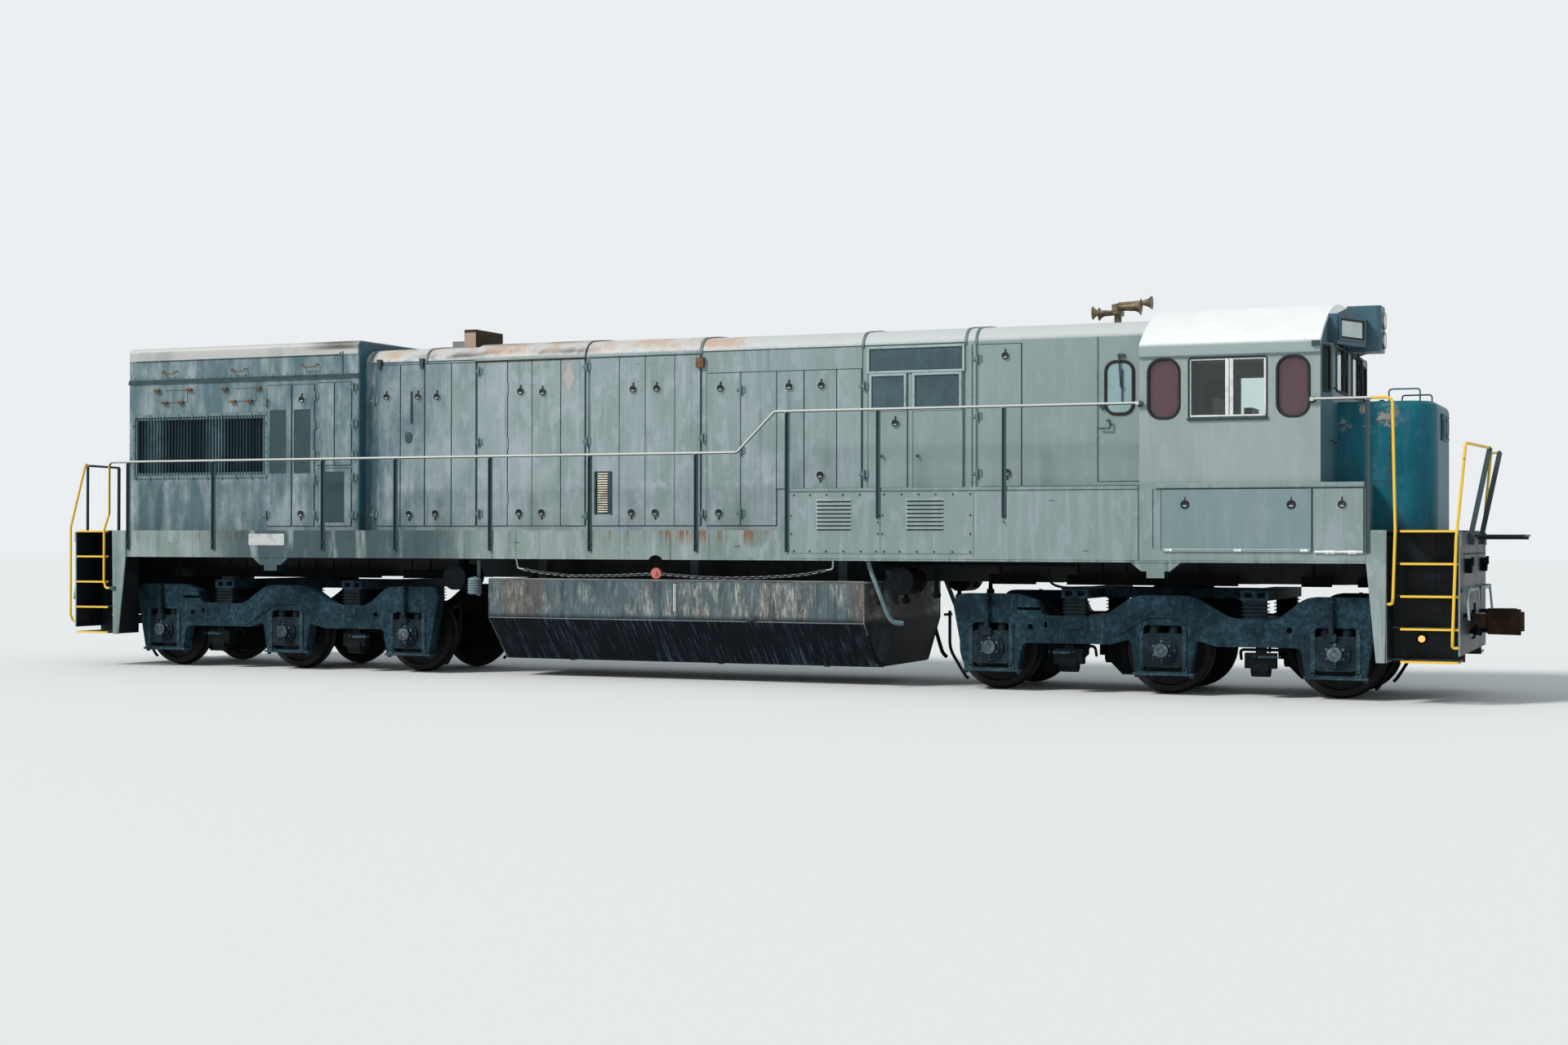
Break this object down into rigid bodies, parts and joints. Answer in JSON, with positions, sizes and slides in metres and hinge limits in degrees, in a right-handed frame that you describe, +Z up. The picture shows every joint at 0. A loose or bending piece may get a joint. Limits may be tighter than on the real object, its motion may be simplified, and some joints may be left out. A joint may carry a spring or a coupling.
{
  "type": "diesel locomotive",
  "caption": "Diesel-electric road locomotive with a low nose and side-door hood on two three-axle trucks, with swivelling trucks, turning wheelsets, swinging couplers, opening doors and drop steps.",
  "frame": {"origin": "middle of the length and width, level with the lowest points of the wheel flanges", "axes": "+X forward to the cab end, +Y to the left side, +Z up"},
  "size_m": [20.578, 3.126, 4.8849],
  "materials": {
    "hood_paint": "satin",
    "roof_paint": "satin",
    "frame_paint": "satin",
    "underframe_black": "matte",
    "tank_paint": "satin",
    "truck_cast": "matte",
    "wheel_steel": "satin",
    "spring_rubber": "matte",
    "coupler_steel": "matte",
    "screen_dark": "matte",
    "rail_dark": "satin",
    "step_yellow": "satin",
    "window_glass": "clear",
    "lamp_glass": "clear",
    "seat_vinyl": "satin",
    "cab_inside": "satin",
    "horn_bronze": "dull",
    "soot_steel": "matte",
    "engine_grey": "matte"
  },
  "bodies": {
    "carbody": {"underframe": "underframe_black", "pilot_front": "frame_paint", "pilot_rear": "frame_paint", "steps": "step_yellow", "fuel_tank": "tank_paint", "air_reservoirs": "underframe_black", "raised_walkways": "frame_paint", "cab_base": "frame_paint", "diesel_engine": "engine_grey", "engine_hood": "hood_paint", "hood_doors": "hood_paint", "radiator_cab": "hood_paint", "intake_grilles": "screen_dark", "radiator_cores": "screen_dark", "fan_drive": "engine_grey", "exhaust_stack": "soot_steel", "cab_walls": "hood_paint", "cab_roof": "roof_paint", "cab_glass": "window_glass", "cab_seats": "seat_vinyl", "control_stand": "cab_inside", "short_hood": "hood_paint", "brow": "hood_paint", "headlights": "lamp_glass", "horn": "horn_bronze", "handrail_right": "rail_dark", "handrail_left": "rail_dark"},
    "truck_rear": {"truck_frame_rear": "truck_cast", "bolster_rear": "truck_cast", "spring_nests_rear": "spring_rubber", "axle_boxes_rear": "truck_cast", "traction_motors_rear": "truck_cast", "brake_gear_rear": "truck_cast"},
    "wheelset_rear_1": {"wheelset_rear_1": "wheel_steel"},
    "wheelset_rear_2": {"wheelset_rear_2": "wheel_steel"},
    "wheelset_rear_3": {"wheelset_rear_3": "wheel_steel"},
    "coupler_rear": {"coupler_rear": "coupler_steel"},
    "knuckle_rear": {"knuckle_rear": "coupler_steel"},
    "truck_front": {"truck_frame_front": "truck_cast", "bolster_front": "truck_cast", "spring_nests_front": "spring_rubber", "axle_boxes_front": "truck_cast", "traction_motors_front": "truck_cast", "brake_gear_front": "truck_cast"},
    "wheelset_front_1": {"wheelset_front_1": "wheel_steel"},
    "wheelset_front_2": {"wheelset_front_2": "wheel_steel"},
    "wheelset_front_3": {"wheelset_front_3": "wheel_steel"},
    "coupler_front": {"coupler_front": "coupler_steel"},
    "knuckle_front": {"knuckle_front": "coupler_steel"},
    "battery_door_right": {"battery_door_right": "frame_paint"},
    "engine_door_right_rear": {"engine_door_right_rear": "hood_paint"},
    "engine_door_right_front": {"engine_door_right_front": "hood_paint"},
    "battery_door_left": {"battery_door_left": "frame_paint"},
    "engine_door_left_rear": {"engine_door_left_rear": "hood_paint"},
    "engine_door_left_front": {"engine_door_left_front": "hood_paint"},
    "cab_door_rear": {"cab_door_rear": "hood_paint"},
    "cab_door_front": {"cab_door_front": "hood_paint"},
    "drop_step_rear": {"drop_step_rear": "frame_paint"},
    "drop_step_front": {"drop_step_front": "frame_paint"},
    "radiator_fan": {"radiator_fan": "engine_grey"}
  },
  "joints": [
    {"name": "truck_rear_swivel", "type": "hinge", "parent": "carbody", "child": "truck_rear", "pos_m": [-6.26, 0, 1.26], "axis": [0, 0, 1], "range_deg": [-4, 4]},
    {"name": "wheelset_rear_1_turn", "type": "hinge", "parent": "truck_rear", "child": "wheelset_rear_1", "pos_m": [-8.39, 0, 0.536], "axis": [0, 1, 0], "continuous": true},
    {"name": "wheelset_rear_2_turn", "type": "hinge", "parent": "truck_rear", "child": "wheelset_rear_2", "pos_m": [-6.26, 0, 0.536], "axis": [0, 1, 0], "continuous": true},
    {"name": "wheelset_rear_3_turn", "type": "hinge", "parent": "truck_rear", "child": "wheelset_rear_3", "pos_m": [-4.25, 0, 0.536], "axis": [0, 1, 0], "continuous": true},
    {"name": "coupler_rear_swing", "type": "hinge", "parent": "carbody", "child": "coupler_rear", "pos_m": [-9.2, 0, 0.904], "axis": [0, 0, 1], "range_deg": [-7, 7]},
    {"name": "knuckle_rear_open", "type": "hinge", "parent": "coupler_rear", "child": "knuckle_rear", "pos_m": [-10.099, -0.12, 0.904], "axis": [0, 0, 1], "range_deg": [0, 45]},
    {"name": "truck_front_swivel", "type": "hinge", "parent": "carbody", "child": "truck_front", "pos_m": [6.26, 0, 1.26], "axis": [0, 0, 1], "range_deg": [-4, 4]},
    {"name": "wheelset_front_1_turn", "type": "hinge", "parent": "truck_front", "child": "wheelset_front_1", "pos_m": [4.13, 0, 0.536], "axis": [0, 1, 0], "continuous": true},
    {"name": "wheelset_front_2_turn", "type": "hinge", "parent": "truck_front", "child": "wheelset_front_2", "pos_m": [6.26, 0, 0.536], "axis": [0, 1, 0], "continuous": true},
    {"name": "wheelset_front_3_turn", "type": "hinge", "parent": "truck_front", "child": "wheelset_front_3", "pos_m": [8.27, 0, 0.536], "axis": [0, 1, 0], "continuous": true},
    {"name": "coupler_front_swing", "type": "hinge", "parent": "carbody", "child": "coupler_front", "pos_m": [9.2, 0, 0.904], "axis": [0, 0, 1], "range_deg": [-7, 7]},
    {"name": "knuckle_front_open", "type": "hinge", "parent": "coupler_front", "child": "knuckle_front", "pos_m": [10.099, 0.12, 0.904], "axis": [0, 0, 1], "range_deg": [0, 45]},
    {"name": "battery_door_right_drop", "type": "hinge", "parent": "carbody", "child": "battery_door_right", "pos_m": [7.2, -1.55, 1.73], "axis": [1, 0, 0], "range_deg": [0, 100]},
    {"name": "engine_door_right_rear_open", "type": "hinge", "parent": "carbody", "child": "engine_door_right_rear", "pos_m": [-2.73, -1.032, 3.14], "axis": [0, 0, -1], "range_deg": [0, 110]},
    {"name": "engine_door_right_front_open", "type": "hinge", "parent": "carbody", "child": "engine_door_right_front", "pos_m": [-1.926, -1.032, 3.14], "axis": [0, 0, 1], "range_deg": [0, 110]},
    {"name": "battery_door_left_drop", "type": "hinge", "parent": "carbody", "child": "battery_door_left", "pos_m": [7.2, 1.55, 1.73], "axis": [-1, 0, 0], "range_deg": [0, 100]},
    {"name": "engine_door_left_rear_open", "type": "hinge", "parent": "carbody", "child": "engine_door_left_rear", "pos_m": [-2.73, 1.032, 3.14], "axis": [0, 0, 1], "range_deg": [0, 110]},
    {"name": "engine_door_left_front_open", "type": "hinge", "parent": "carbody", "child": "engine_door_left_front", "pos_m": [-1.926, 1.032, 3.14], "axis": [0, 0, -1], "range_deg": [0, 110]},
    {"name": "cab_door_rear_open", "type": "hinge", "parent": "carbody", "child": "cab_door_rear", "pos_m": [6.065, -1.455, 3.28], "axis": [0, 0, 1], "range_deg": [0, 95]},
    {"name": "cab_door_front_open", "type": "hinge", "parent": "carbody", "child": "cab_door_front", "pos_m": [8.26, 1.425, 3.3], "axis": [0, 0, 1], "range_deg": [0, 95]},
    {"name": "drop_step_rear_lift", "type": "hinge", "parent": "carbody", "child": "drop_step_rear", "pos_m": [-9.726, 0, 1.905], "axis": [0, 1, 0], "range_deg": [0, 90]},
    {"name": "drop_step_front_lift", "type": "hinge", "parent": "carbody", "child": "drop_step_front", "pos_m": [9.726, 0, 1.905], "axis": [0, -1, 0], "range_deg": [0, 90]},
    {"name": "radiator_fan_turn", "type": "hinge", "parent": "carbody", "child": "radiator_fan", "pos_m": [-7.7, 0, 3.9], "axis": [0, 0, 1], "continuous": true}
  ]
}
